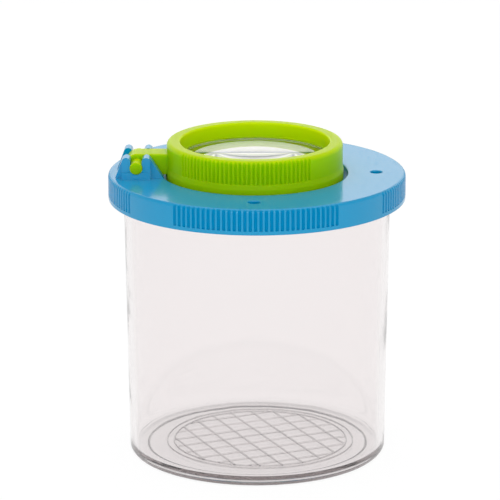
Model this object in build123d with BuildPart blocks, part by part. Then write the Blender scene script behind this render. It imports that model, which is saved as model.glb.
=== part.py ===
from build123d import *
import os

# Bug magnifier box: a clear cup with a measuring grid in its floor, a press-on lid that holds
# a fixed lens, and a loupe in a ribbed ring that flips up on a hinge at the edge of the lid.
# Millimetres, +Z up, the hinge towards -X, the origin at the middle of the base.

# Cup
cup_height = 66.6  # table to rim
cup_foot_radius = 30.65  # outside, at the base
cup_neck_radius = 31.7  # outside, under the rim flange: the wall leans out a little
cup_wall = 1.6
cup_foot_rounding = 1.5
cup_floor = 1.5
cup_floor_clearance = 0.8  # underside of the floor above the table
cup_foot_width = 4.4  # width of the foot ring under the wall
cup_foot_step_rounding = 0.35  # both corners of the step inside the foot ring
cup_floor_corner = 0.3  # inside, where the wall meets the floor
rim_flange_width = 1.4
rim_flange_height = 2.0
rim_rounding = 0.4

# Measuring grid, raised on the floor of the cup
grid_pitch = 5.0
grid_lines = 8  # each way
grid_radius = 20.7  # circle that the lines end on
grid_border_radius = 22.3
grid_line_width = 0.35
grid_line_height = 0.25
grid_turn = 25.8  # degrees from +X
grid_place_x = 0.7  # middle of the circles from the middle of the cup
grid_place_y = -0.9
grid_line_shift = -1.05  # one set of lines from the middle of the circles

# Lid
lid_fit = 0.08  # radial clearance of the skirt on the rim flange
lid_rest_gap = 0.1  # between the rim and the underside of the lid
lid_plate = 1.8
lid_height = 6.1  # over the skirt
lid_skirt_wall = 2.1
lid_edge_rounding = 0.8
skirt_lead_in = 0.4

# Grip grooves round the lid: four groups with plain stretches between
lid_groove_groups = 4
lid_grooves_per_group = 33
lid_side_extra = 1  # more grooves in the two groups at the sides
lid_groove_pitch = 2.0  # degrees
lid_groove_turn = 0.9  # degrees that the groups are turned from the axes
lid_groove_radius = 0.36
lid_groove_inset = 0.05  # groove centre inside the lid's outer radius
lid_band_height = 1.0  # plain band under the grooves

# Air holes through the lid: the hinge stands where the fourth would be
air_hole_radius = 1.4
air_hole_circle = 28.3
air_hole_angles = (-90, 0, 90)

# Loupe ring: it and its well sit a little towards the hinge from the middle of the lid
loupe_shift = -0.5
loupe_lens_radius = 17.65
lens_flange = 1.4  # edge thickness of both lenses
lens_fit = 0.05  # radial clearance of a lens in its seat
snap_bead = 0.2  # ridge that each lens snaps past stands in this far
snap_bead_height = 0.4
snap_bead_gap = 0.05  # between the ridge and the lens flange
loupe_wall = 3.15  # wall of the ring above the lens
loupe_land_rounding = 1.0  # outer edge of the ring's top
loupe_inner_rounding = 0.4  # inner edge of the ring's top
loupe_height = 9.2  # over the ring
loupe_rise = 7.6  # top of the ring above the lid
loupe_lens_depth = 3.8  # top of the lens flange below the top of the ring
loupe_ledge = 1.4  # thickness of the ledge that the lens sits on
loupe_ledge_width = 2.2
loupe_skirt_wall = 1.6  # ring's wall below the ledge
loupe_band_step = 0.2  # the plain lower band stands out this far
loupe_band_top = 2.0  # top of that band above the lid

# Grip grooves on the ring: a group at the front and one at the back
loupe_grooves_per_group = 32
loupe_groove_pitch = 2.95  # degrees
loupe_groove_turn = -6.7  # degrees that the groups are turned from the front and the back
loupe_groove_radius = 0.32
loupe_groove_inset = 0.05

# Well in the lid, which takes the ring and holds the fixed lens
well_gap = 1.0  # round the ring's lower band
well_wall = 1.4
well_edge_rounding = 0.4
shoulder_clearance = 0.5  # under the ring
shoulder_height = 1.0
shoulder_width = 2.0
well_lip = 0.7  # well wall below the lens flange

# Lens curves
loupe_dome_height = 1.5
lid_dome_height = 1.8
dome_margin = 0.4  # flat left on the flange beside the ledge or shoulder

# Hinge
hinge_reach = 28.25  # pin axis from the middle of the lid
hinge_offset = -1.5  # middle of the hinge along Y
pin_radius = 1.5
pin_height = 2.7  # pin axis above the lid
pin_fit = 0.05  # radial clearance of the pin in its seat
pin_proud = 0.25  # pin end beyond the bracket
arm_radius = 2.5
arm_width = 5.6
arm_clearance = 0.25  # each side, between the brackets

# Hinge brackets
bracket_width = 6.8
bracket_thickness = 3.8
bracket_top = 2.5  # top of the posts above the pin axis
bracket_throat = 2.7  # slot that the pin snaps through
ledge_height = 1.6  # thicker foot of the bracket, above the lid
ledge_step = 0.35
gusset_thickness = 2.35
gusset_foot_out = 1.6  # how far the gusset's foot runs out towards the rim
gusset_foot_in = 3.0  # and towards the ring

# Places that follow from the sizes
cup_inner_neck = cup_neck_radius - cup_wall
cup_inner_foot = cup_foot_radius - cup_wall
foot_inner = cup_foot_radius - cup_foot_width
floor_top = cup_floor_clearance + cup_floor
flange_radius = cup_neck_radius + rim_flange_width
flange_bottom = cup_height - rim_flange_height

lid_bore = flange_radius + lid_fit
lid_radius = lid_bore + lid_skirt_wall
plate_bottom = cup_height + lid_rest_gap
lid_top = plate_bottom + lid_plate
lid_bottom = lid_top - lid_height

loupe_bore = loupe_lens_radius + lens_fit
loupe_radius = loupe_bore + loupe_wall
band_radius = loupe_radius + loupe_band_step
loupe_top = lid_top + loupe_rise
loupe_bottom = loupe_top - loupe_height
band_top = lid_top + loupe_band_top
loupe_seat = loupe_top - loupe_lens_depth - lens_flange
ledge_bottom = loupe_seat - loupe_ledge
ledge_radius = loupe_bore - loupe_ledge_width

well_radius = band_radius + well_gap
well_outer = well_radius + well_wall
shoulder_top = loupe_bottom - shoulder_clearance
lid_seat = shoulder_top - shoulder_height
shoulder_radius = well_radius - shoulder_width
well_bottom = lid_seat - lens_flange - well_lip

loupe_flange_top = loupe_seat + lens_flange
loupe_dome_radius = ledge_radius - dome_margin
loupe_bead_bottom = loupe_flange_top + snap_bead_gap
lid_flange_bottom = lid_seat - lens_flange
lid_bead_top = lid_flange_bottom - snap_bead_gap
lid_lens_radius = well_radius - lens_fit
lid_dome_radius = shoulder_radius - dome_margin

pin_z = lid_top + pin_height
arm_end = loupe_radius - loupe_wall / 2 - loupe_shift
bracket_inner = arm_width / 2 + arm_clearance
pin_half = bracket_inner + bracket_thickness + pin_proud
post_width = (bracket_width - bracket_throat) / 2
post_centre = (bracket_throat + post_width) / 2
post_top = pin_z + bracket_top
post_shoulder = post_top - post_width / 2
bracket_root = lid_top - lid_plate / 2
bracket_plane = Plane.XZ.offset(bracket_inner - hinge_offset)
hinge_plane = Plane.XZ.offset(-hinge_offset)
loupe_plane = Plane(origin=(loupe_shift, 0, 0), x_dir=(1, 0, 0), z_dir=(0, -1, 0))
loupe_axis = Axis((loupe_shift, 0, 0), (0, 0, 1))
grid_place = Location((grid_place_x, grid_place_y, 0))


def corner(sketch, radius, height):
    """Corner of a profile nearest to a radius and a height."""
    return sketch.vertices().sort_by_distance((radius, height, 0))[0]


def sphere_radius(half_width, rise):
    """Radius of a shallow dome of the given half width and rise."""
    return (half_width**2 + rise**2) / (2 * rise)


# Cup: a thin wall that leans out a little, a foot ring under it and a flange round the rim
with BuildPart() as cup:
    with BuildSketch(Plane.XZ) as cup_profile:
        with BuildLine():
            Polyline(
                (0, cup_floor_clearance),
                (foot_inner, cup_floor_clearance),
                (foot_inner, 0),
                (cup_foot_radius, 0),
                (cup_neck_radius, flange_bottom),
                (flange_radius, flange_bottom),
                (flange_radius, cup_height),
                (cup_inner_neck, cup_height),
                (cup_inner_foot, floor_top),
                (0, floor_top),
                close=True,
            )
        make_face()
        fillet(corner(cup_profile, cup_foot_radius, 0), cup_foot_rounding)
        fillet(corner(cup_profile, foot_inner, 0), cup_foot_step_rounding)
        fillet(corner(cup_profile, foot_inner, cup_floor_clearance), cup_foot_step_rounding)
        fillet(corner(cup_profile, cup_inner_foot, floor_top), cup_floor_corner)
        fillet(corner(cup_profile, flange_radius, cup_height), rim_rounding)
        fillet(corner(cup_profile, cup_inner_neck, cup_height), rim_rounding)
    revolve(axis=Axis.Z)

    # Measuring grid and its two circles
    grid_plane = Plane.XY.offset(floor_top) * grid_place
    with BuildSketch(grid_plane):
        with Locations(Location((0, 0, 0), (0, 0, grid_turn))):
            with Locations((grid_line_shift, 0)):
                with GridLocations(grid_pitch, 0, grid_lines, 1):
                    Rectangle(grid_line_width, 2 * grid_border_radius)
            with GridLocations(0, grid_pitch, 1, grid_lines):
                Rectangle(2 * grid_border_radius, grid_line_width)
        Circle(grid_radius, mode=Mode.INTERSECT)
    extrude(amount=grid_line_height)
    for circle_radius in (grid_radius, grid_border_radius):
        with BuildSketch(grid_plane):
            Circle(circle_radius + grid_line_width / 2)
            Circle(circle_radius - grid_line_width / 2, mode=Mode.SUBTRACT)
        extrude(amount=grid_line_height)

cup.part.label = "cup"

# Hinge bracket in front of the arm, drawn on its face towards the arm: two round-topped posts
# with sloping gussets, a thicker foot, and a seat that the pin snaps into from above
with BuildPart() as bracket:
    with BuildSketch(bracket_plane):
        with Locations((-hinge_reach, (bracket_root + lid_top + ledge_height) / 2)):
            Rectangle(bracket_width, lid_top + ledge_height - bracket_root)
    extrude(amount=bracket_thickness)
    with BuildSketch(bracket_plane):
        with Locations((-hinge_reach, (bracket_root + post_shoulder) / 2)):
            Rectangle(bracket_width, post_shoulder - bracket_root)
        with Locations((-hinge_reach, post_shoulder)):
            with Locations((-post_centre, 0), (post_centre, 0)):
                Circle(post_width / 2)
    extrude(amount=bracket_thickness - ledge_step)
    for side, foot in ((-1, gusset_foot_out), (1, gusset_foot_in)):
        with BuildSketch(bracket_plane):
            with BuildLine():
                CenterArc((-hinge_reach + side * post_centre, post_shoulder), post_width / 2, 0, 360)
                Polyline(
                    (-hinge_reach + side * bracket_throat / 2, bracket_root),
                    (-hinge_reach + side * (bracket_width / 2 + foot), bracket_root),
                    (-hinge_reach + side * (bracket_width / 2 + foot), lid_top),
                )
            make_hull()
        extrude(amount=gusset_thickness)
    with BuildSketch(bracket_plane):
        with Locations((-hinge_reach, pin_z)):
            Circle(pin_radius + pin_fit)
        with Locations((-hinge_reach, (pin_z + post_top) / 2)):
            Rectangle(bracket_throat, post_top - pin_z)
    extrude(amount=bracket_thickness, mode=Mode.SUBTRACT)

# Lid: a flat plate with a skirt outside and a well inside
with BuildPart() as lid:
    with BuildSketch(Plane.XZ) as lid_profile:
        with BuildLine():
            Polyline(
                (0, lid_top),
                (lid_radius, lid_top),
                (lid_radius, lid_bottom),
                (lid_bore, lid_bottom),
                (lid_bore, plate_bottom),
                (0, plate_bottom),
                close=True,
            )
        make_face()
        fillet(corner(lid_profile, lid_radius, lid_top), lid_edge_rounding)
        chamfer(corner(lid_profile, lid_bore, lid_bottom), skirt_lead_in)
    revolve(axis=Axis.Z)

    # Well: an opening in the plate, then the wall with its shoulder and snap ridge
    with BuildSketch(Plane.XY.offset(plate_bottom)):
        with Locations((loupe_shift, 0)):
            Circle(well_radius + well_wall / 2)
    extrude(amount=lid_plate, mode=Mode.SUBTRACT)
    with BuildSketch(loupe_plane) as well_profile:
        with BuildLine():
            Polyline(
                (well_radius, lid_top),
                (well_outer, lid_top),
                (well_outer, well_bottom),
                (well_radius, well_bottom),
                (well_radius, lid_bead_top - snap_bead_height),
                (well_radius - snap_bead, lid_bead_top - snap_bead_height / 2),
                (well_radius, lid_bead_top),
                (well_radius, lid_seat),
                (shoulder_radius, lid_seat),
                (shoulder_radius, shoulder_top),
                (well_radius, shoulder_top),
                close=True,
            )
        make_face()
        fillet(corner(well_profile, well_radius, lid_top), well_edge_rounding)
    revolve(axis=loupe_axis)

    # Grip grooves, open at the top edge
    for group in range(lid_groove_groups):
        group_angle = 360 / lid_groove_groups * group + lid_groove_turn
        grooves = lid_grooves_per_group + (lid_side_extra if group % 2 == 0 else 0)
        group_span = lid_groove_pitch * (grooves - 1)
        with BuildSketch(Plane.XY.offset(lid_bottom + lid_band_height)):
            with PolarLocations(
                lid_radius - lid_groove_inset,
                grooves,
                start_angle=group_angle - group_span / 2,
                angular_range=group_span,
                endpoint=True,
            ):
                Circle(lid_groove_radius)
        extrude(amount=lid_height - lid_band_height, mode=Mode.SUBTRACT)

    # Air holes
    for angle in air_hole_angles:
        with BuildSketch(Plane.XY.offset(plate_bottom)):
            with PolarLocations(air_hole_circle, 1, start_angle=angle):
                Circle(air_hole_radius)
        extrude(amount=lid_plate, mode=Mode.SUBTRACT)

    # Hinge brackets, alike in front of and behind the arm
    add(bracket.part)
    mirror(bracket.part, about=hinge_plane)

    # The inner gussets stop at the well
    with BuildSketch(Plane.XY.offset(shoulder_top)):
        with Locations((loupe_shift, 0)):
            Circle(well_radius)
    extrude(amount=post_top - shoulder_top, mode=Mode.SUBTRACT)

lid.part.label = "lid"

# Loupe ring: wall, ledge for the lens, and a plain band that drops into the well
with BuildPart() as loupe_ring:
    with BuildSketch(loupe_plane) as ring_profile:
        with BuildLine():
            Polyline(
                (loupe_bore, loupe_top),
                (loupe_radius, loupe_top),
                (loupe_radius, band_top),
                (band_radius, band_top),
                (band_radius, loupe_bottom),
                (band_radius - loupe_skirt_wall, loupe_bottom),
                (band_radius - loupe_skirt_wall, ledge_bottom),
                (ledge_radius, ledge_bottom),
                (ledge_radius, loupe_seat),
                (loupe_bore, loupe_seat),
                (loupe_bore, loupe_bead_bottom),
                (loupe_bore - snap_bead, loupe_bead_bottom + snap_bead_height / 2),
                (loupe_bore, loupe_bead_bottom + snap_bead_height),
                close=True,
            )
        make_face()
        fillet(corner(ring_profile, loupe_bore, loupe_top), loupe_inner_rounding)
        fillet(corner(ring_profile, loupe_radius, loupe_top), loupe_land_rounding)
    revolve(axis=loupe_axis)

    # Grip grooves at the front and the back
    for group_angle in (-90, 90):
        group_span = loupe_groove_pitch * (loupe_grooves_per_group - 1)
        with BuildSketch(Plane.XY.offset(band_top)):
            with Locations((loupe_shift, 0)):
                with PolarLocations(
                    loupe_radius - loupe_groove_inset,
                    loupe_grooves_per_group,
                    start_angle=group_angle + loupe_groove_turn - group_span / 2,
                    angular_range=group_span,
                    endpoint=True,
                ):
                    Circle(loupe_groove_radius)
        extrude(amount=loupe_top - band_top, mode=Mode.SUBTRACT)

    # Arm with a round end, and a pin through it
    with BuildSketch(Plane.XZ.offset(arm_width / 2 - hinge_offset)):
        with Locations((-hinge_reach, pin_z)):
            Circle(arm_radius)
        with Locations((-(hinge_reach + arm_end) / 2, pin_z)):
            Rectangle(hinge_reach - arm_end, 2 * arm_radius)
    extrude(amount=-arm_width)
    with BuildSketch(Plane.XZ.offset(pin_half - hinge_offset)):
        with Locations((-hinge_reach, pin_z)):
            Circle(pin_radius)
    extrude(amount=-2 * pin_half)

loupe_ring.part.label = "loupe_ring"

# Lenses, both with a flat flange and a dome on each face
with BuildPart() as loupe_lens:
    with BuildSketch(loupe_plane):
        with BuildLine():
            Line((0, loupe_seat - loupe_dome_height), (0, loupe_flange_top + loupe_dome_height))
            RadiusArc(
                (0, loupe_flange_top + loupe_dome_height),
                (loupe_dome_radius, loupe_flange_top),
                sphere_radius(loupe_dome_radius, loupe_dome_height),
            )
            Line((loupe_dome_radius, loupe_flange_top), (loupe_lens_radius, loupe_flange_top))
            Line((loupe_lens_radius, loupe_flange_top), (loupe_lens_radius, loupe_seat))
            Line((loupe_lens_radius, loupe_seat), (loupe_dome_radius, loupe_seat))
            RadiusArc(
                (loupe_dome_radius, loupe_seat),
                (0, loupe_seat - loupe_dome_height),
                sphere_radius(loupe_dome_radius, loupe_dome_height),
            )
        make_face()
    revolve(axis=loupe_axis)

loupe_lens.part.label = "loupe_lens"

with BuildPart() as lid_lens:
    with BuildSketch(loupe_plane):
        with BuildLine():
            Line((0, lid_flange_bottom - lid_dome_height), (0, lid_seat + lid_dome_height))
            RadiusArc(
                (0, lid_seat + lid_dome_height),
                (lid_dome_radius, lid_seat),
                sphere_radius(lid_dome_radius, lid_dome_height),
            )
            Line((lid_dome_radius, lid_seat), (lid_lens_radius, lid_seat))
            Line((lid_lens_radius, lid_seat), (lid_lens_radius, lid_flange_bottom))
            Line((lid_lens_radius, lid_flange_bottom), (lid_dome_radius, lid_flange_bottom))
            RadiusArc(
                (lid_dome_radius, lid_flange_bottom),
                (0, lid_flange_bottom - lid_dome_height),
                sphere_radius(lid_dome_radius, lid_dome_height),
            )
        make_face()
    revolve(axis=loupe_axis)

lid_lens.part.label = "lid_lens"

# One file for each piece
os.makedirs("parts", exist_ok=True)
export_step(cup.part, "parts/cup.step")
export_step(lid.part, "parts/lid.step")
export_step(lid_lens.part, "parts/lid_lens.step")
export_step(loupe_ring.part, "parts/loupe_ring.step")
export_step(loupe_lens.part, "parts/loupe_lens.step")
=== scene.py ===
import bpy
import bmesh
import math
from mathutils import Matrix, Vector


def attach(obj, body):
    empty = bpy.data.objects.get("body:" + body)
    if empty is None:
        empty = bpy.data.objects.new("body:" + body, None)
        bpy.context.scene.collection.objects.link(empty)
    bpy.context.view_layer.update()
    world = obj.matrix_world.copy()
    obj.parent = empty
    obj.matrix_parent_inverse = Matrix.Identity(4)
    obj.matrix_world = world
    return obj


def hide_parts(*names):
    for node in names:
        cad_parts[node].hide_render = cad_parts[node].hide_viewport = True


# Bug magnifier box: a clear cup, a blue lid with a fixed lens and a green flip-up loupe.
# Sizes in the dictionaries are millimetres and degrees, unless a note there says metres.
# Meshes are made in metres.
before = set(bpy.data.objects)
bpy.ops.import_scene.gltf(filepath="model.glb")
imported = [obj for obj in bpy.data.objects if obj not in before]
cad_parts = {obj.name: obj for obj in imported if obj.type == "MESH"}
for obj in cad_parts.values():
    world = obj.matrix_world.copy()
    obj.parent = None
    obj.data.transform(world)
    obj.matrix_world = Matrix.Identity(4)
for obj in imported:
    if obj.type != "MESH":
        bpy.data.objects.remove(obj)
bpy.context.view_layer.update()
mm = 0.001
tinyLength = 1e-6
scene = bpy.context.scene
print("frame loaded:", ", ".join(sorted(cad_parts)))


# Outlines are lists of (radius, height) or (along, height) in millimetres.
# A corner is (x, y, rounding): the rounding becomes an arc with a support point on each side,
# so that smooth shading leaves the flats beside it flat.
def roundedOutline(corners, steps=5, support=0.05, closed=True):
    outline = []
    count = len(corners)
    for index, (x, y, rounding) in enumerate(corners):
        point = Vector((x, y))
        isEnd = not closed and index in (0, count - 1)
        if rounding == 0 or isEnd:
            outline.append((x, y))
            continue
        before = Vector(corners[index - 1][:2]) - point
        after = Vector(corners[(index + 1) % count][:2]) - point
        toBefore, toAfter = before.normalized(), after.normalized()
        half = toBefore.angle(toAfter) / 2
        reach = rounding / math.tan(half)
        middle = point + (toBefore + toAfter).normalized() * rounding / math.sin(half)
        start, end = point + toBefore * reach, point + toAfter * reach
        arc = [start.lerp(end, step / steps) - middle for step in range(steps + 1)]
        arc = [middle + spoke.normalized() * rounding for spoke in arc]
        if before.length > reach + 2 * support:
            arc.insert(0, start + toBefore * support)
        if after.length > reach + 2 * support:
            arc.append(end + toAfter * support)
        outline += [tuple(p) for p in arc]
    return outline


def arcOutline(centre, radius, start, end, steps):
    angles = [math.radians(start + (end - start) * step / steps) for step in range(steps + 1)]
    return [(centre[0] + radius * math.cos(a), centre[1] + radius * math.sin(a)) for a in angles]


def newObject(name, mesh):
    made = bpy.data.objects.new(name, mesh)
    scene.collection.objects.link(made)
    return made


def meshFrom(name, shape):
    bmesh.ops.recalc_face_normals(shape, faces=shape.faces)
    mesh = bpy.data.meshes.new(name)
    shape.to_mesh(mesh)
    shape.free()
    return newObject(name, mesh)


# Turns an outline about the upright axis; points at radius 0 become one pole each
def spunBody(name, outline, angles):
    shape = bmesh.new()
    rings = []
    for radius, height in outline:
        spokes = angles if radius > tinyLength else [0]
        rings.append([
            shape.verts.new((radius * mm * math.cos(a), radius * mm * math.sin(a), height * mm))
            for a in spokes
        ])
    pairs = list(zip(rings, rings[1:]))
    if len(rings[0]) > 1:
        pairs.append((rings[-1], rings[0]))
    for first, second in pairs:
        for i in range(len(angles)):
            j = (i + 1) % len(angles)
            corners = ((first, i), (first, j), (second, j), (second, i))
            loop = [circle[step % len(circle)] for circle, step in corners]
            shape.faces.new(list(dict.fromkeys(loop)))  # a pole counts once
    return meshFrom(name, shape)


# Pushes an (x, z) outline through from one y to another
def prism(name, outline, front, back):
    shape = bmesh.new()
    near = [shape.verts.new((x * mm, front * mm, z * mm)) for x, z in outline]
    far = [shape.verts.new((x * mm, back * mm, z * mm)) for x, z in outline]
    shape.faces.new(near)
    shape.faces.new(far[::-1])
    for i in range(len(outline)):
        j = (i + 1) % len(outline)
        shape.faces.new((near[i], far[i], far[j], near[j]))
    return meshFrom(name, shape)


# Replaces an object's mesh by what its modifiers make of it
def makePlain(piece):
    graph = bpy.context.evaluated_depsgraph_get()
    made = bpy.data.meshes.new_from_object(
        piece.evaluated_get(graph), preserve_all_data_layers=True, depsgraph=graph)
    piece.modifiers.clear()
    piece.data = made
    made.name = piece.name
    return piece


# Joins solids to a base, or cuts them from it. The tools must not overlap each other unless crossing is set.
def combine(base, tools, operation, crossing=False):
    tool = tools[0]
    shape = bmesh.new()
    for one in tools:
        shape.from_mesh(one.data)
    shape.to_mesh(tool.data)
    shape.free()
    modifier = base.modifiers.new("combine", "BOOLEAN")
    modifier.operation = operation
    modifier.solver = "EXACT"
    modifier.use_self = crossing
    modifier.material_mode = "TRANSFER"
    modifier.object = tool
    makePlain(base)
    for one in tools:
        bpy.data.objects.remove(one)
    return base


# Rounds the sharp edges of a solid and welds the slivers that the bevel leaves, weld micrometres wide
def softenEdges(piece, width, segments=3, angle=35, weld=3):
    bevel = piece.modifiers.new("edges", "BEVEL")
    bevel.width = width * mm
    bevel.segments = segments
    bevel.limit_method = "ANGLE"
    bevel.angle_limit = math.radians(angle)
    bevel.use_clamp_overlap = True
    makePlain(piece)
    shape = bmesh.new()
    shape.from_mesh(piece.data)
    bmesh.ops.remove_doubles(shape, verts=shape.verts, dist=weld * tinyLength)
    shape.to_mesh(piece.data)
    shape.free()
    return piece


# Merges stray doubles, shades smooth up to an angle and weighs normals by face area
def finishMesh(piece, sharpAngle=38):
    shape = bmesh.new()
    shape.from_mesh(piece.data)
    bmesh.ops.remove_doubles(shape, verts=shape.verts, dist=tinyLength)
    bmesh.ops.dissolve_degenerate(shape, edges=shape.edges, dist=tinyLength)
    bmesh.ops.recalc_face_normals(shape, faces=shape.faces)
    shape.to_mesh(piece.data)
    shape.free()
    piece.data.shade_smooth()
    piece.data.set_sharp_from_angle(angle=math.radians(sharpAngle))
    weighted = piece.modifiers.new("flats", "WEIGHTED_NORMAL")
    weighted.keep_sharp = True
    weighted.weight = 80
    return makePlain(piece)


# Small helper for node trees: add makes a node and fills its inputs from sockets or plain values,
# math, square and mix give the result's socket, and link joins two sockets
class Nodes:
    columnWidth = 190

    def __init__(self, tree):
        self.tree = tree
        self.column = 0

    def add(self, kind, inputs=None, **settings):
        node = self.tree.nodes.new(kind)
        node.location = (self.column * self.columnWidth, 0)
        self.column += 1
        for key, value in settings.items():
            setattr(node, key, value)
        for key, value in (inputs or {}).items():
            if isinstance(value, bpy.types.NodeSocket):
                self.tree.links.new(value, node.inputs[key])
            else:
                node.inputs[key].default_value = value
        return node

    def math(self, operation, first, second=None, clamp=False):
        values = {i: v for i, v in enumerate((first, second)) if v is not None}
        return self.add("ShaderNodeMath", values, operation=operation, use_clamp=clamp).outputs[0]

    def square(self, value):
        return self.math("MULTIPLY", value, value)

    def mix(self, share, first, second):
        inputs = {"Factor": share, "A": first, "B": second}
        return self.add("ShaderNodeMix", inputs, data_type="RGBA").outputs[2]

    def link(self, first, second):
        self.tree.links.new(first, second)


# Grip grooves: scallops cut into a round wall, in groups round it, open at the top
def gripTree():
    tree = bpy.data.node_groups.new("gripGrooves", "GeometryNodeTree")
    face = tree.interface
    face.new_socket("Geometry", in_out="INPUT", socket_type="NodeSocketGeometry")
    for name in ("wallRadius", "inset", "grooveRadius", "bandTop",
                 "pitch", "groupStep", "firstAngle", "perGroup", "evenExtra"):
        face.new_socket(name, in_out="INPUT", socket_type="NodeSocketFloat")
    face.new_socket("finish", in_out="INPUT", socket_type="NodeSocketMaterial")
    face.new_socket("Geometry", in_out="OUTPUT", socket_type="NodeSocketGeometry")
    n = Nodes(tree)
    given = n.add("NodeGroupInput").outputs
    place = n.add("ShaderNodeSeparateXYZ", {0: n.add("GeometryNodeInputPosition").outputs[0]}).outputs
    radius = n.math("SQRT", n.math("ADD", n.square(place[0]), n.square(place[1])))
    angle = n.math("SUBTRACT", n.math("ARCTAN2", place[1], place[0]), given["firstAngle"])
    turns = n.math("ROUND", n.math("DIVIDE", angle, given["groupStep"]))
    inGroup = n.math("SUBTRACT", angle, n.math("MULTIPLY", turns, given["groupStep"]))
    isOdd = n.math("MODULO", n.math("ABSOLUTE", turns), 2.0)
    extra = n.math("MULTIPLY", n.math("SUBTRACT", 1.0, isOdd), given["evenExtra"])
    grooves = n.math("ADD", given["perGroup"], extra)
    half = n.math("MULTIPLY", grooves, 0.5)
    count = n.math("FLOOR", n.math("ADD", n.math("DIVIDE", inGroup, given["pitch"]), half))
    count = n.math("MAXIMUM", count, 0.0)
    count = n.math("MINIMUM", count, n.math("SUBTRACT", grooves, 1.0))
    middle = n.math("MULTIPLY", n.math("SUBTRACT", count, n.math("SUBTRACT", half, 0.5)), given["pitch"])
    away = n.math("ABSOLUTE", n.math("MULTIPLY", n.math("SUBTRACT", inGroup, middle), given["wallRadius"]))
    under = n.math("SUBTRACT", n.square(given["grooveRadius"]), n.square(away))
    bowl = n.math("SQRT", n.math("MAXIMUM", under, 0.0))
    centre = n.math("SUBTRACT", given["wallRadius"], given["inset"])
    cut = n.math("MINIMUM", radius, n.math("SUBTRACT", centre, bowl))
    inGroove = n.math("GREATER_THAN", under, 0.0)
    aboveBand = n.math("GREATER_THAN", place[2], given["bandTop"])
    inside = n.math("MULTIPLY", inGroove, aboveBand)
    depth = n.math("MULTIPLY", n.math("SUBTRACT", radius, cut), inside)
    share = n.math("DIVIDE", n.math("SUBTRACT", radius, depth), radius)
    moved = n.add("ShaderNodeCombineXYZ", {
        0: n.math("MULTIPLY", place[0], share),
        1: n.math("MULTIPLY", place[1], share),
        2: place[2],
    }).outputs[0]
    # The groove's depth share, stored below as the 'groove' attribute, is the mask for painted shade in the
    # grooves
    groove = n.math("DIVIDE", depth, n.math("ADD", given["grooveRadius"], given["inset"]), clamp=True)
    stored = n.add("GeometryNodeStoreNamedAttribute", {"Geometry": given["Geometry"], "Name": "groove"},
                   data_type="FLOAT", domain="POINT")
    n.link(groove, stored.inputs["Value"])
    shifted = n.add("GeometryNodeSetPosition", {"Geometry": stored.outputs[0], "Position": moved})
    real = n.add("GeometryNodeRealizeInstances", {0: shifted.outputs[0]})
    painted = n.add("GeometryNodeSetMaterial", {"Geometry": real.outputs[0], "Material": given["finish"]})
    n.add("NodeGroupOutput", {0: painted.outputs[0]})
    return tree


# Measuring grid: two crossed sets of bars, each cut to the length at which it ends on a circle
def gridTree():
    tree = bpy.data.node_groups.new("measuringGrid", "GeometryNodeTree")
    face = tree.interface
    face.new_socket("Geometry", in_out="INPUT", socket_type="NodeSocketGeometry")
    for name in ("pitch", "gridRadius", "lineWidth", "barHeight", "foot",
                 "turn", "lineShift", "placeX", "placeY"):
        face.new_socket(name, in_out="INPUT", socket_type="NodeSocketFloat")
    face.new_socket("lines", in_out="INPUT", socket_type="NodeSocketInt")
    for name in ("finish", "crossFinish"):
        face.new_socket(name, in_out="INPUT", socket_type="NodeSocketMaterial")
    face.new_socket("Geometry", in_out="OUTPUT", socket_type="NodeSocketGeometry")
    n = Nodes(tree)
    given = n.add("NodeGroupInput").outputs
    span = n.math("MULTIPLY", given["pitch"], n.math("SUBTRACT", given["lines"], 1.0))
    step = n.add("ShaderNodeCombineXYZ", {0: given["pitch"]})
    bar = n.add("GeometryNodeMeshCube", {"Size": (1, 1, 1)})
    place = n.add("ShaderNodeSeparateXYZ", {0: n.add("GeometryNodeInputPosition").outputs[0]}).outputs
    left = n.math("SUBTRACT", n.square(given["gridRadius"]), n.square(place[0]))
    length = n.math("MULTIPLY", n.math("SQRT", left), 2.0)
    size = n.add("ShaderNodeCombineXYZ", {0: given["lineWidth"], 1: length, 2: given["barHeight"]})
    middle = n.add("ShaderNodeCombineXYZ", {0: given["placeX"], 1: given["placeY"]})
    both = n.add("GeometryNodeJoinGeometry")
    crossTurn = n.math("ADD", given["turn"], math.pi / 2)
    lineSets = ((given["turn"], given["lineShift"], "finish"), (crossTurn, 0.0, "crossFinish"))
    for angle, shift, finish in lineSets:
        begin = n.math("ADD", n.math("MULTIPLY", span, -0.5), shift)
        start = n.add("ShaderNodeCombineXYZ", {0: begin, 2: given["foot"]})
        row = n.add("GeometryNodeMeshLine", {"Count": given["lines"], "Start Location": start.outputs[0],
                                             "Offset": step.outputs[0]}, mode="OFFSET")
        bars = n.add("GeometryNodeInstanceOnPoints", {"Points": row.outputs[0], "Instance": bar.outputs[0],
                                                      "Scale": size.outputs[0]})
        turned = n.add("ShaderNodeCombineXYZ", {2: angle})
        moved = n.add("GeometryNodeTransform", {"Geometry": bars.outputs[0], "Rotation": turned.outputs[0],
                                                "Translation": middle.outputs[0]})
        real = n.add("GeometryNodeRealizeInstances", {0: moved.outputs[0]})
        painted = n.add("GeometryNodeSetMaterial", {"Geometry": real.outputs[0], "Material": given[finish]})
        n.link(painted.outputs[0], both.inputs[0])
    n.add("NodeGroupOutput", {0: both.outputs[0]})
    return tree


def useTree(piece, tree, values):
    modifier = piece.modifiers.new(tree.name, "NODES")
    modifier.node_group = tree
    for item in tree.interface.items_tree:
        if item.in_out == "INPUT" and item.name in values:
            modifier[item.identifier] = values[item.name]
    return makePlain(piece)


def newMaterial(name):
    material = bpy.data.materials.new(name)
    material.use_nodes = True
    material.node_tree.nodes.clear()
    return material, Nodes(material.node_tree)


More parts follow.
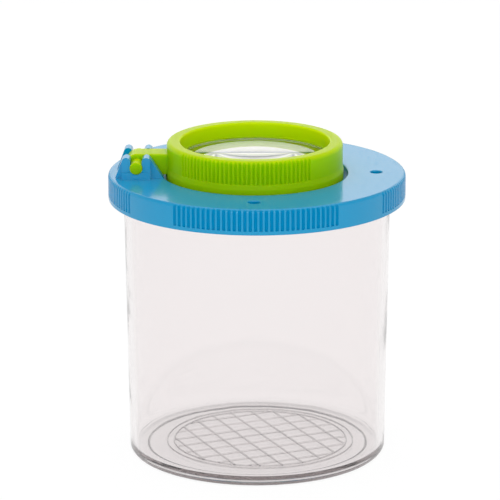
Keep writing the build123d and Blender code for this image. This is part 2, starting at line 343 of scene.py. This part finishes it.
# Clear polystyrene: a little light lost in the wall, moulding ripple and hair-fine scratches.
# Scales count a pattern's cells in one metre, and depths are metres.
clearDetail = {
    "ior": 1.57, "rippleScale": 60, "rippleDepth": 0.002,
    "scratchScale": 900, "scratchStretch": (1, 1, 0.12), "scratchFrom": 0.45, "scratchTo": 0.75,
    "scratchRoughness": 0.05,
}
# How fast light is lost inside the cup's plastic, and the colour of what is left of it
cupInside = {"lost": 52.0, "left": (0.55, 0.50, 0.50, 1)}
clearLooks = {
    "cupClear": {**cupInside, "tint": (0.97, 0.946, 0.946, 1), "ripple": 0.05},
    # The two bar tints are painted shade: the darker gridClear tint and the lighter crossClear tint stand in
    # for the dark lines that refraction draws along each set of grid bars
    "gridClear": {**cupInside, "tint": (0.68, 0.66, 0.66, 1), "ripple": 0.02},
    "crossClear": {**cupInside, "tint": (0.93, 0.91, 0.91, 1), "ripple": 0.02},
    "lensClear": {"lost": 12.0, "left": (0.8, 0.8, 0.72, 1), "tint": (1, 1, 1, 1), "ripple": 0.01},
}


def clearPlastic(name):
    look = clearLooks[name]
    material, n = newMaterial(name)
    place = n.add("ShaderNodeTexCoord").outputs["Object"]
    ripple = n.add("ShaderNodeTexNoise", {
        "Vector": place, "Scale": clearDetail["rippleScale"], "Detail": 2.0})
    stretched = n.add("ShaderNodeMapping", {"Vector": place, "Scale": clearDetail["scratchStretch"]})
    scratch = n.add("ShaderNodeTexNoise", {
        "Vector": stretched.outputs[0], "Scale": clearDetail["scratchScale"], "Detail": 4.0})
    gloss = n.add("ShaderNodeMapRange", {
        "Value": scratch.outputs[0],
        "From Min": clearDetail["scratchFrom"], "From Max": clearDetail["scratchTo"],
        "To Min": 0.0, "To Max": clearDetail["scratchRoughness"]})
    bump = n.add("ShaderNodeBump", {
        "Height": ripple.outputs[0], "Strength": look["ripple"], "Distance": clearDetail["rippleDepth"]})
    shader = n.add("ShaderNodeBsdfPrincipled", {
        "Base Color": look["tint"], "IOR": clearDetail["ior"], "Transmission Weight": 1.0,
        "Roughness": gloss.outputs[0], "Normal": bump.outputs[0]})
    inside = n.add("ShaderNodeVolumeAbsorption", {"Color": look["left"], "Density": look["lost"]})
    n.add("ShaderNodeOutputMaterial", {"Surface": shader.outputs[0], "Volume": inside.outputs[0]})
    return material


# How far a face looks up, and how far it looks towards the upright axis, each from 0 to 1
def faceTurns(n, coordinates):
    up = n.add("ShaderNodeSeparateXYZ", {0: coordinates["Normal"]}).outputs["Z"]
    level = n.add("ShaderNodeVectorMath", {0: coordinates["Object"], 1: (1, 1, 0)}, operation="MULTIPLY")
    outward = n.add("ShaderNodeVectorMath", {0: level.outputs[0]}, operation="NORMALIZE")
    outwards = n.add("ShaderNodeVectorMath", {0: outward.outputs[0], 1: coordinates["Normal"]},
                     operation="DOT_PRODUCT").outputs["Value"]
    return n.math("MAXIMUM", up, 0.0), n.math("MAXIMUM", n.math("MULTIPLY", outwards, -1.0), 0.0)


# Scales count a pattern's cells in one metre, depths are metres and the turn is in radians
mouldedDetail = {
    "cloudScale": 45.0, "speckleScale": 1400.0, "speckleStrength": 0.08, "speckleDepth": 0.0002,
    "scratchScale": 1100.0, "scratchStretch": (1, 0.15, 1), "scratchTurn": (0, 0, 0.6),
    "scratchFrom": 0.5, "scratchTo": 0.8, "scratchRoughness": 0.12,
    "coatRoughness": 0.08, "glowDepth": 0.005,
}


# Moulded colour: a satin-gloss plastic that takes light in, with painted light in its colour: painted
# yellower or deeper where it faces up or in, for light on the top and through the wall, and painted shade a
# little darker and duller in the grooves; rougher along its hair-fine scratches
def mouldedPlastic(name, look):
    material, n = newMaterial(name)
    coordinates = n.add("ShaderNodeTexCoord").outputs
    place = coordinates["Object"]
    up, inward = faceTurns(n, coordinates)
    cloud = n.add("ShaderNodeTexNoise", {
        "Vector": place, "Scale": mouldedDetail["cloudScale"], "Detail": 3.0})
    wall = n.mix(cloud.outputs[0], look["deep"], look["pale"])
    # Painted light: faces that look up take the 'above' colour and faces that look in towards the axis take
    # the inward colour, standing in for light falling on the top and through the wall
    paintedTop = n.mix(up, wall, look["above"])
    base = n.mix(inward, paintedTop, look["inwardPaintedLight"])
    # Painted shade in the grooves: the mask darkens the colour towards the groove colour and dims the
    # reflection
    groove = n.add("ShaderNodeAttribute", attribute_name="groove")
    shade = n.math("MULTIPLY", groove.outputs["Fac"], look["grooveShade"])
    coloured = n.mix(shade, base, look["groove"])
    speckle = n.add("ShaderNodeTexNoise", {
        "Vector": place, "Scale": mouldedDetail["speckleScale"], "Detail": 2.0})
    stretched = n.add("ShaderNodeMapping", {
        "Vector": place, "Scale": mouldedDetail["scratchStretch"], "Rotation": mouldedDetail["scratchTurn"]})
    scratch = n.add("ShaderNodeTexNoise", {
        "Vector": stretched.outputs[0], "Scale": mouldedDetail["scratchScale"], "Detail": 5.0})
    wear = n.add("ShaderNodeMapRange", {
        "Value": scratch.outputs[0],
        "From Min": mouldedDetail["scratchFrom"], "From Max": mouldedDetail["scratchTo"],
        "To Min": look["roughness"], "To Max": look["roughness"] + mouldedDetail["scratchRoughness"]})
    bump = n.add("ShaderNodeBump", {
        "Height": speckle.outputs[0], "Strength": mouldedDetail["speckleStrength"],
        "Distance": mouldedDetail["speckleDepth"]})
    shineShade = n.math("MULTIPLY", groove.outputs["Fac"], look["grooveGlossShade"])
    shine = n.math("SUBTRACT", look["specular"], shineShade, clamp=True)
    shader = n.add("ShaderNodeBsdfPrincipled", {
        "Base Color": coloured, "Roughness": wear.outputs[0], "Normal": bump.outputs[0],
        "IOR": look["ior"], "Specular IOR Level": shine,
        "Coat Weight": look["coat"], "Coat Roughness": mouldedDetail["coatRoughness"],
        "Subsurface Weight": look["glow"], "Subsurface Radius": look["spread"],
        "Subsurface Scale": mouldedDetail["glowDepth"]})
    n.add("ShaderNodeOutputMaterial", {"Surface": shader.outputs[0]})
    return material


# In both looks the colour for up-facing faces and the inward colour are painted light, and the groove colour
# is painted shade
blueLook = {
    "deep": (0.0, 0.32, 0.61, 1), "pale": (0.0, 0.35, 0.66, 1), "groove": (0.0, 0.26, 0.54, 1),
    "above": (0.0, 0.30, 0.57, 1), "inwardPaintedLight": (0.0, 0.30, 0.58, 1),
    "grooveShade": 0.6, "grooveGlossShade": 0.6, "specular": 0.5, "roughness": 0.14, "ior": 1.46, "coat": 0.05,
    "glow": 0.0, "spread": (1, 1, 1),
}
greenLook = {
    "deep": (0.33, 0.62, 0.0, 1), "pale": (0.36, 0.66, 0.0, 1), "groove": (0.24, 0.52, 0.0, 1),
    "above": (0.44, 0.61, 0.0, 1), "inwardPaintedLight": (0.56, 0.84, 0.0, 1),
    "grooveShade": 0.3, "grooveGlossShade": 0.3, "specular": 0.12, "roughness": 0.28, "ior": 1.33, "coat": 0.0,
    "glow": 0.8, "spread": (1.0, 0.8, 0.1),
}
cupClear = clearPlastic("cupClear")
gridClear = clearPlastic("gridClear")
crossClear = clearPlastic("crossClear")
lensClear = clearPlastic("lensClear")
lidBlue = mouldedPlastic("lidBlue", blueLook)
loupeGreen = mouldedPlastic("loupeGreen", greenLook)
print("finishes made")


def evenAngles(count):
    return [2 * math.pi * i / count for i in range(count)]


# Shares of a groove's half width at which the wall gets a row of points
grooveSamples = (-1.06, -0.97, -0.75, -0.35, 0.35, 0.75, 0.97, 1.06)


# Angles for a wall with grip grooves: close together at each groove's edges, wide apart between groups
def gripAngles(grip):
    pitch = math.radians(grip["pitch"])
    width = grip["grooveRadius"] / grip["wallRadius"]
    groupStep = 2 * math.pi / grip["groups"]
    angles = []
    for group in range(grip["groups"]):
        middle = math.radians(grip["firstAngle"]) + group * groupStep
        grooves, nextGrooves = [
            grip["perGroup"] + (grip["evenExtra"] if g % 2 == 0 else 0) for g in (group, group + 1)]
        for index in range(grooves):
            centre = middle + (index - (grooves - 1) / 2) * pitch
            angles += [centre + width * share for share in grooveSamples]
        gapStart = middle + grooves / 2 * pitch
        gap = groupStep - (grooves + nextGrooves) / 2 * pitch
        steps = max(2, round(gap / math.radians(grip["plainStep"])))
        angles += [gapStart + gap * step / steps for step in range(steps + 1)]
    return angles


def cutGrip(piece, tree, grip, finish):
    radians = ("pitch", "firstAngle")
    lengths = ("wallRadius", "inset", "grooveRadius", "bandTop")
    values = {key: math.radians(grip[key]) for key in radians}
    values.update({key: grip[key] * mm for key in lengths})
    values["groupStep"] = 2 * math.pi / grip["groups"]
    values["perGroup"] = float(grip["perGroup"])
    values["evenExtra"] = float(grip["evenExtra"])
    values["finish"] = finish
    return useTree(piece, tree, values)


# The floor is raised inside a foot ring; footStep rounds the ring's inner step
cup = {
    "height": 66.6, "footRadius": 30.65, "neckRadius": 31.7, "wall": 1.6, "footRounding": 1.5,
    "floorTop": 2.3, "floorUnder": 0.8, "footWidth": 4.4, "footStep": 0.35, "floorCorner": 0.3,
    "rimRadius": 33.1, "rimUnder": 64.6, "neckCorner": 0.3, "rimCorner": 0.25, "edge": 0.4, "around": 256,
}
grid = {
    "pitch": 5.0, "lines": 8, "radius": 20.7, "borderRadius": 22.3, "lineWidth": 0.35, "lineHeight": 0.25,
    "sunk": 0.3, "ridgeEdge": 0.08, "turn": 25.8, "placeX": 0.7, "placeY": -0.9, "lineShift": -1.05,
    "around": 160,
}


def makeCup():
    footIn = cup["footRadius"] - cup["footWidth"]
    outline = roundedOutline([
        (0, cup["floorUnder"], 0),
        (footIn, cup["floorUnder"], cup["footStep"]),
        (footIn, 0, cup["footStep"]),
        (cup["footRadius"], 0, cup["footRounding"]),
        (cup["neckRadius"], cup["rimUnder"], cup["neckCorner"]),
        (cup["rimRadius"], cup["rimUnder"], cup["rimCorner"]),
        (cup["rimRadius"], cup["height"], cup["edge"]),
        (cup["neckRadius"] - cup["wall"], cup["height"], cup["edge"]),
        (cup["footRadius"] - cup["wall"], cup["floorTop"], cup["floorCorner"]),
        (0, cup["floorTop"], 0),
    ], closed=False)
    body = spunBody("cup_visual", outline, evenAngles(cup["around"]))
    body.data.materials.append(cupClear)

    # Grid bars by Geometry Nodes, then the two round ridges, all one moulding with the floor
    top = cup["floorTop"] + grid["lineHeight"]
    low = cup["floorTop"] - grid["sunk"]
    bars = newObject("gridBars", bpy.data.meshes.new("gridBars"))
    useTree(bars, gridTree(), {
        "pitch": grid["pitch"] * mm, "lines": grid["lines"], "gridRadius": grid["radius"] * mm,
        "lineWidth": grid["lineWidth"] * mm, "barHeight": (top - low) * mm, "foot": (top + low) / 2 * mm,
        "turn": math.radians(grid["turn"]), "lineShift": grid["lineShift"] * mm,
        "placeX": grid["placeX"] * mm, "placeY": grid["placeY"] * mm,
        "finish": gridClear, "crossFinish": crossClear,
    })
    ridges = []
    half = grid["lineWidth"] / 2
    for ridgeRadius in (grid["radius"], grid["borderRadius"]):
        ridge = spunBody("gridRidge", roundedOutline([
            (ridgeRadius - half, low, 0),
            (ridgeRadius + half, low, 0),
            (ridgeRadius + half, top, grid["ridgeEdge"]),
            (ridgeRadius - half, top, grid["ridgeEdge"]),
        ], steps=3, support=0.03), evenAngles(grid["around"]))
        ridge.data.transform(Matrix.Translation((grid["placeX"] * mm, grid["placeY"] * mm, 0)))
        ridge.data.materials.append(crossClear)
        ridges.append(ridge)
    combine(bars, ridges, "UNION", crossing=True)
    combine(body, [bars], "UNION")
    return finishMesh(body, sharpAngle=32)


lid = {
    "radius": 35.28, "top": 68.5, "bottom": 62.4, "bore": 33.18, "plateUnder": 66.7,
    "wellRadius": 22.05, "wellOuter": 23.45, "wellBottom": 63.3, "seat": 65.43, "shoulderTop": 66.4,
    "shoulderRadius": 20.05, "beadIn": 0.2, "beadTop": 63.95, "beadHeight": 0.4,
    "edge": 0.8, "wellEdge": 0.4, "boreEdge": 0.35, "small": 0.2, "fine": 0.1, "bandSupport": 0.04,
    "loupeShift": -0.5,
}
lidGrip = {
    "wallRadius": lid["radius"], "inset": 0.05, "grooveRadius": 0.36, "bandTop": 63.4, "pitch": 2.0,
    "groups": 4, "firstAngle": 0.9, "perGroup": 33, "evenExtra": 1, "plainStep": 2.0,
}
airHoles = {"radius": 1.4, "circle": 28.3, "angles": (-90, 0, 90), "lip": 0.2, "over": 0.5, "around": 40}
hinge = {"reach": 28.25, "offset": -1.5, "height": 71.2}  # the loupe's pin runs along y here
bracket = {
    "inner": 3.05, "thickness": 3.8, "ledgeStep": 0.35, "width": 6.8, "throat": 2.7, "seat": 1.55,
    "ledgeTop": 70.1, "postTop": 73.7, "root": 67.6, "webThickness": 2.35, "footOut": 1.6, "footIn": 3.0,
    "edge": 0.15, "around": 16, "wellFit": 0.02, "wellAround": 360,
}


# One outline for the posts, their gussets and the pin's seat is pushed through to the full thickness;
# then the gussets and the posts are cut back to their own thickness
def makeBracket():
    middle, half, throat = -hinge["reach"], bracket["width"] / 2, bracket["throat"] / 2
    postRadius = (half - throat) / 2
    postMiddle = (half + throat) / 2
    shoulder = bracket["postTop"] - postRadius
    root, seat, steps = bracket["root"], bracket["seat"], bracket["around"]
    front = hinge["offset"] - bracket["inner"]
    back = front - bracket["thickness"]
    beyond = 1.0

    # Angle on a post at which the gusset with this foot leaves it
    def leaving(foot):
        across, down = half + foot - postMiddle, shoulder - lid["top"]
        away = math.degrees(math.acos(postRadius / math.hypot(across, down)))
        return away - math.degrees(math.atan2(down, across))

    def sided(side, points):
        return [(middle + side * x, z) for x, z in points]

    def postArc(side, start, end, count):
        return sided(side, arcOutline((postMiddle, shoulder), postRadius, start, end, count))

    notch = math.degrees(math.acos(throat / seat))
    outline, cutters = [], []
    for side, foot in ((1, bracket["footIn"]), (-1, bracket["footOut"])):
        corner, angle = half + foot, leaving(foot)
        gusset = sided(side, [(corner, root), (corner, lid["top"])]) + postArc(side, angle, 180, steps)
        outline += gusset if side > 0 else gusset[::-1]
        if side > 0:
            outline += arcOutline((middle, hinge["height"]), seat, notch, -180 - notch, 2 * steps)
        clear, turn = postRadius + beyond, math.radians(angle)
        outward = (postMiddle + clear * math.cos(turn), shoulder + clear * math.sin(turn))
        far = corner + beyond
        cutters.append(prism(
            "gussetCut",
            sided(side, [(half, root - beyond)]) + postArc(side, 0, angle, steps // 4)
            + sided(side, [outward, (far, shoulder), (far, root - beyond)]),
            front - bracket["webThickness"], back - beyond))
    body = prism("bracket", outline, front, back)
    combine(body, cutters, "DIFFERENCE")
    wide, ledgeTop, over = half + beyond, bracket["ledgeTop"], bracket["postTop"] + beyond
    above = sided(1, [(-wide, ledgeTop), (wide, ledgeTop), (wide, over), (-wide, over)])
    combine(body, [prism("postCut", above, back + bracket["ledgeStep"], back - beyond)], "DIFFERENCE")
    return softenEdges(body, bracket["edge"])


def makeLid(gripGrooves):
    bead = lid["wellRadius"] - lid["beadIn"]
    outline = roundedOutline([
        (lid["wellRadius"], lid["top"], lid["wellEdge"]),
        (lid["radius"], lid["top"], lid["edge"]),
        (lid["radius"], lidGrip["bandTop"] + lid["bandSupport"], 0),
        (lid["radius"], lidGrip["bandTop"] - lid["bandSupport"], 0),
        (lid["radius"], lid["bottom"], lid["small"]),
        (lid["bore"], lid["bottom"], lid["boreEdge"]),
        (lid["bore"], lid["plateUnder"], lid["small"]),
        (lid["wellOuter"], lid["plateUnder"], lid["small"]),
        (lid["wellOuter"], lid["wellBottom"], lid["small"]),
        (lid["wellRadius"], lid["wellBottom"], lid["fine"]),
        (lid["wellRadius"], lid["beadTop"] - lid["beadHeight"], 0),
        (bead, lid["beadTop"] - lid["beadHeight"] / 2, 0),
        (lid["wellRadius"], lid["beadTop"], 0),
        (lid["wellRadius"], lid["seat"], 0),
        (lid["shoulderRadius"], lid["seat"], lid["fine"]),
        (lid["shoulderRadius"], lid["shoulderTop"], lid["small"]),
        (lid["wellRadius"], lid["shoulderTop"], lid["fine"]),
    ], steps=4)
    body = spunBody("lid_visual", outline, gripAngles(lidGrip))
    body.data.materials.append(lidBlue)
    cutGrip(body, gripGrooves, lidGrip, lidBlue)

    # The well sits a little towards the hinge
    inner = (lid["wellOuter"] + lid["small"] + lid["fine"]) * mm
    for vertex in body.data.vertices:
        if math.hypot(vertex.co.x, vertex.co.y) < inner:
            vertex.co.x += lid["loupeShift"] * mm

    # Air holes with a softened lip
    lip, over = airHoles["lip"], airHoles["over"]
    holes = []
    for angle in airHoles["angles"]:
        cutter = roundedOutline([
            (0, lid["plateUnder"] - over, 0),
            (airHoles["radius"], lid["plateUnder"] - over, 0),
            (airHoles["radius"], lid["top"] - lip, lid["fine"]),
            (airHoles["radius"] + lip, lid["top"], 0),
            (airHoles["radius"] + lip, lid["top"] + over, 0),
            (0, lid["top"] + over, 0),
        ], closed=False)
        hole = spunBody("airHole", cutter, evenAngles(airHoles["around"]))
        turn = math.radians(angle)
        hole.data.transform(Matrix.Translation(
            Vector((math.cos(turn), math.sin(turn), 0)) * airHoles["circle"] * mm))
        holes.append(hole)
    combine(body, holes, "DIFFERENCE")

    # Two brackets, alike in front of and behind the arm; their inner gussets stop at the well
    front = makeBracket()
    front.data.materials.append(lidBlue)
    back = newObject("bracketBack", front.data.copy())
    about = hinge["offset"] * mm
    back.data.transform(Matrix.Translation((0, 2 * about, 0)) @ Matrix.Scale(-1, 4, (0, 1, 0)))
    back.data.flip_normals()
    cutRadius, low, high = lid["wellRadius"] + bracket["wellFit"], lid["shoulderTop"], bracket["postTop"]
    for one in (front, back):
        wellCut = spunBody("wellCut", [(0, low), (cutRadius, low), (cutRadius, high), (0, high)],
                           evenAngles(bracket["wellAround"]))
        wellCut.data.transform(Matrix.Translation((lid["loupeShift"] * mm, 0, 0)))
        combine(one, [wellCut], "DIFFERENCE")
    combine(body, [front, back], "UNION")
    return finishMesh(body)


ring = {
    "bore": 17.7, "radius": 20.85, "top": 76.1, "bandTop": 70.5, "bandRadius": 21.05, "bottom": 66.9,
    "skirtIn": 19.45, "ledgeUnder": 69.5, "ledgeRadius": 15.5, "seat": 70.87,
    "beadLow": 72.35, "beadHeight": 0.4, "beadIn": 0.2, "beadEdge": 0.05,
    "land": 1.0, "landIn": 0.4, "edge": 0.2, "bandSlope": 1.2, "bandEdge": 0.08,
    "wallFoot": 0.01, "wallSupport": 0.06,
}
ringGrip = {
    "wallRadius": ring["radius"], "inset": 0.05, "grooveRadius": 0.32, "bandTop": 70.54, "pitch": 2.95,
    "groups": 2, "firstAngle": -96.7, "perGroup": 32, "evenExtra": 0, "plainStep": 2.0,
}
arm = {
    "radius": 2.5, "width": 5.6, "end": 19.775, "edge": 0.3,
    "pinRadius": 1.5, "pinHalf": 7.1, "pinEdge": 0.25, "around": 24,
}


def makeRing(gripGrooves):
    outline = roundedOutline([
        (ring["bore"], ring["top"], ring["landIn"]),
        (ring["radius"], ring["top"], ring["land"]),
        (ring["radius"], ring["bandTop"] + ring["wallSupport"], 0),
        (ring["radius"], ring["bandTop"] + ring["wallFoot"], 0),
        (ring["bandRadius"], ring["bandTop"] - ring["bandSlope"], ring["bandEdge"]),
        (ring["bandRadius"], ring["bottom"], ring["edge"]),
        (ring["skirtIn"], ring["bottom"], ring["edge"]),
        (ring["skirtIn"], ring["ledgeUnder"], ring["edge"]),
        (ring["ledgeRadius"], ring["ledgeUnder"], ring["edge"]),
        (ring["ledgeRadius"], ring["seat"], ring["edge"]),
        (ring["bore"], ring["seat"], 0),
        (ring["bore"], ring["beadLow"], 0),
        (ring["bore"] - ring["beadIn"], ring["beadLow"] + ring["beadHeight"] / 2, ring["beadEdge"]),
        (ring["bore"], ring["beadLow"] + ring["beadHeight"], 0),
    ])
    body = spunBody("loupe_ring_visual", outline, gripAngles(ringGrip))
    body.data.materials.append(loupeGreen)
    cutGrip(body, gripGrooves, ringGrip, loupeGreen)
    body.data.transform(Matrix.Translation((lid["loupeShift"] * mm, 0, 0)))

    # The arm's round end and the pin share one axis
    pin = (-hinge["reach"], hinge["height"])
    side = arcOutline(pin, arm["radius"], 90, 270, arm["around"])
    side += [(-arm["end"], hinge["height"] - arm["radius"]), (-arm["end"], hinge["height"] + arm["radius"])]
    bar = prism("arm", side, hinge["offset"] - arm["width"] / 2, hinge["offset"] + arm["width"] / 2)
    softenEdges(bar, arm["edge"])
    bar.data.materials.append(loupeGreen)
    points = 2 * arm["around"]
    disc = arcOutline(pin, arm["pinRadius"], 0, 360 - 360 / points, points - 1)
    pins = prism("pins", disc, hinge["offset"] - arm["pinHalf"], hinge["offset"] + arm["pinHalf"])
    softenEdges(pins, arm["pinEdge"], angle=50)
    pins.data.materials.append(loupeGreen)
    combine(bar, [pins], "UNION")
    combine(body, [bar], "UNION")
    return finishMesh(body)


lenses = {
    "loupe_lens_visual": {"radius": 17.65, "low": 70.9, "high": 72.3, "domeRadius": 15.1, "dome": 1.5},
    "lid_lens_visual": {"radius": 22.0, "low": 64.0, "high": 65.4, "domeRadius": 19.65, "dome": 1.8},
}
lensShape = {"margin": 0.1, "edge": 0.15, "domeSteps": 24, "around": 192}


# A flat flange with a dome above and below; each dome is part of a ball
def makeLens(name):
    lens, steps = lenses[name], lensShape["domeSteps"]
    ball = (lens["domeRadius"] ** 2 + lens["dome"] ** 2) / (2 * lens["dome"])
    spread = math.degrees(math.asin(lens["domeRadius"] / ball))
    highest, lowest = lens["high"] + lens["dome"], lens["low"] - lens["dome"]
    top = arcOutline((0, highest - ball), ball, 90, 90 - spread, steps)
    bottom = arcOutline((0, lowest + ball), ball, -90 + spread, -90, steps)
    rim = roundedOutline([
        (lens["domeRadius"] + lensShape["margin"], lens["high"], 0),
        (lens["radius"], lens["high"], lensShape["edge"]),
        (lens["radius"], lens["low"], lensShape["edge"]),
        (lens["domeRadius"] + lensShape["margin"], lens["low"], 0),
    ], closed=False)
    outline = [(0, highest)] + top[1:] + rim + bottom[:-1] + [(0, lowest)]
    body = spunBody(name, outline, evenAngles(lensShape["around"]))
    body.data.transform(Matrix.Translation((lid["loupeShift"] * mm, 0, 0)))
    body.data.materials.append(lensClear)
    return finishMesh(body, sharpAngle=20)


gripGrooves = gripTree()
cupPiece = makeCup()
print("cup made:", len(cupPiece.data.polygons), "faces")
lidPiece = makeLid(gripGrooves)
print("lid made:", len(lidPiece.data.polygons), "faces")
ringPiece = makeRing(gripGrooves)
print("loupe ring made:", len(ringPiece.data.polygons), "faces")
loupeLens = makeLens("loupe_lens_visual")
lidLens = makeLens("lid_lens_visual")
print("lenses made")

for piece, body, node, slotName in (
    (cupPiece, "cup", "cup", "cup_clear"),
    (lidPiece, "lid", "lid", "lid_blue"),
    (lidLens, "lid", "lid_lens", "lens_clear"),
    (ringPiece, "loupe", "loupe_ring", "loupe_green"),
    (loupeLens, "loupe", "loupe_lens", "lens_clear"),
):
    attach(piece, body)
    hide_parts(node)


# The floor's radius is in metres; the world's bands are heights on a ball of radius 1
studio = {
    "floorRadius": 5.0, "floorSides": 64, "floorDrop": 0.05, "floorDark": 0.9, "floorPale": 0.93,
    "grainScale": 300.0, "floorShown": 0.92, "floorGlow": 1.03,
    # A painted shadow on the floor under the cup: its tone, and its radius and soft edge in millimetres
    "paintedShadowTone": 0.84, "paintedShadowRadius": 28.6, "paintedShadowEdge": 1.6,
    "worldShown": 1.0, "band": 0.6, "bandLow": 0.25, "bandHigh": 0.8, "top": 0.42,
    "frontLight": 0.42, "backLight": 0.8, "lightSpan": 0.8,
}


def grey(tone):
    return (tone, tone, tone, 1)


# The Light Path outputs, and a share that is 1 for rays that show the surroundings as they look
def seenRays(n):
    path = n.add("ShaderNodeLightPath").outputs
    seen = n.math("MAXIMUM", path["Is Camera Ray"], path["Is Glossy Ray"])
    return path, n.math("MAXIMUM", seen, path["Is Transmission Ray"])


def makeFloor():
    shape = bmesh.new()
    bmesh.ops.create_circle(shape, cap_ends=True, radius=studio["floorRadius"], segments=studio["floorSides"])
    floor = meshFrom("floor", shape)
    floor.location.z = -studio["floorDrop"] * mm
    material, n = newMaterial("paleFloor")
    _, seen = seenRays(n)
    place = n.add("ShaderNodeTexCoord").outputs["Object"]
    grain = n.add("ShaderNodeTexNoise", {"Vector": place, "Scale": studio["grainScale"]})
    tone = n.mix(grain.outputs[0], grey(studio["floorDark"]), grey(studio["floorPale"]))
    matte = n.add("ShaderNodeBsdfDiffuse", {"Color": tone})
    # Right under the cup a painted shadow darkens the floor's glow, also where it shows through clear plastic
    spread = n.add("ShaderNodeVectorMath", {0: place}, operation="LENGTH").outputs["Value"]
    outsidePaintedShadow = n.add("ShaderNodeMapRange", {
        "Value": spread, "From Min": studio["paintedShadowRadius"] * mm,
        "From Max": (studio["paintedShadowRadius"] + studio["paintedShadowEdge"]) * mm,
        "To Min": studio["paintedShadowTone"], "To Max": 1.0}, interpolation_type="SMOOTHSTEP")
    bright = n.math("MULTIPLY", outsidePaintedShadow.outputs[0], studio["floorGlow"])
    glow = n.add("ShaderNodeEmission", {"Color": (1, 1, 1, 1), "Strength": bright})
    share = n.math("MULTIPLY", seen, studio["floorShown"])
    mixed = n.add("ShaderNodeMixShader", {0: share, 1: matte.outputs[0], 2: glow.outputs[0]})
    n.add("ShaderNodeOutputMaterial", {"Surface": mixed.outputs[0]})
    floor.data.materials.append(material)


# White all round for what is seen, but greyer overhead in reflections, which gives clear plastic and
# glossy edges something to show; plainer and dimmer for what lights the object
def makeWorld():
    world = bpy.data.worlds.new("studio")
    scene.world = world
    world.use_nodes = True
    world.node_tree.nodes.clear()
    n = Nodes(world.node_tree)
    path, seen = seenRays(n)
    direction = n.add("ShaderNodeTexCoord").outputs["Generated"]
    _, depth, height = n.add("ShaderNodeSeparateXYZ", {0: direction}).outputs
    ramp = n.add("ShaderNodeValToRGB", {0: height})
    ramp.color_ramp.interpolation = "EASE"
    stops = ramp.color_ramp.elements
    stops[0].position, stops[0].color = studio["bandLow"], grey(1)
    stops[1].position, stops[1].color = studio["bandHigh"], grey(studio["top"])
    bandStop = stops.new((studio["bandLow"] + studio["bandHigh"]) / 2)
    bandStop.color = grey(studio["band"])
    around = n.mix(path["Is Camera Ray"], ramp.outputs[0], grey(1))
    shown = n.add("ShaderNodeBackground", {"Color": around, "Strength": studio["worldShown"]})
    soft = n.add("ShaderNodeMapRange", {
        "Value": depth, "From Min": -studio["lightSpan"], "From Max": studio["lightSpan"],
        "To Min": studio["frontLight"], "To Max": studio["backLight"]})
    light = n.add("ShaderNodeBackground", {"Color": (1, 1, 1, 1), "Strength": soft.outputs[0]})
    mixed = n.add("ShaderNodeMixShader", {0: seen, 1: light.outputs[0], 2: shown.outputs[0]})
    n.add("ShaderNodeOutputWorld", {"Surface": mixed.outputs[0]})


# Places and sizes are metres, and power is in watts
softboxes = {
    "overhead": {"place": (0.0, 0.05, 0.62), "width": 0.6, "height": 0.6, "power": 1.1},
    "front": {"place": (0.0, -0.8, 0.42), "width": 0.8, "height": 0.5, "power": 2.4},
    "back": {"place": (0.0, 1.25, 0.45), "width": 1.6, "height": 0.5, "power": 1.2},
}
lampAim = (0, 0, 0.05)


def makeLamps():
    for name, box in softboxes.items():
        lamp = bpy.data.lights.new(name, "AREA")
        lamp.shape = "RECTANGLE"
        lamp.size, lamp.size_y = box["width"], box["height"]
        lamp.energy = box["power"]
        made = newObject(name, lamp)
        made.location = box["place"]
        aim = Vector(lampAim) - Vector(box["place"])
        made.rotation_mode = "QUATERNION"
        made.rotation_quaternion = aim.to_track_quat("-Z", "Y")
        made.visible_transmission = False  # clear plastic shows the plain surroundings


# The roll is in radians, and near and far are metres
view = {
    "place": (20.92, -863.0, 292.03), "turn": 1.5, "down": 15.716, "roll": -0.002,
    "focal": 270.55, "sensor": 36.0, "near": 0.02, "far": 50,
}


def makeCamera():
    data = bpy.data.cameras.new("camera")
    data.lens = view["focal"]
    data.sensor_width = view["sensor"]
    data.clip_start, data.clip_end = view["near"], view["far"]
    made = newObject("camera", data)
    made.matrix_world = (
        Matrix.Translation(Vector(view["place"]) * mm)
        @ Matrix.Rotation(math.radians(view["turn"]), 4, "Z")
        @ Matrix.Rotation(math.radians(90 - view["down"]), 4, "X")
        @ Matrix.Rotation(view["roll"], 4, "Z")
    )
    scene.camera = made


makeFloor()
makeWorld()
makeLamps()
makeCamera()
scene.view_settings.view_transform = "Standard"
# Light crosses many walls of clear plastic here
scene.cycles.max_bounces = 32
scene.cycles.glossy_bounces = 24
scene.cycles.transmission_bounces = 32
print("floor, light and camera set")
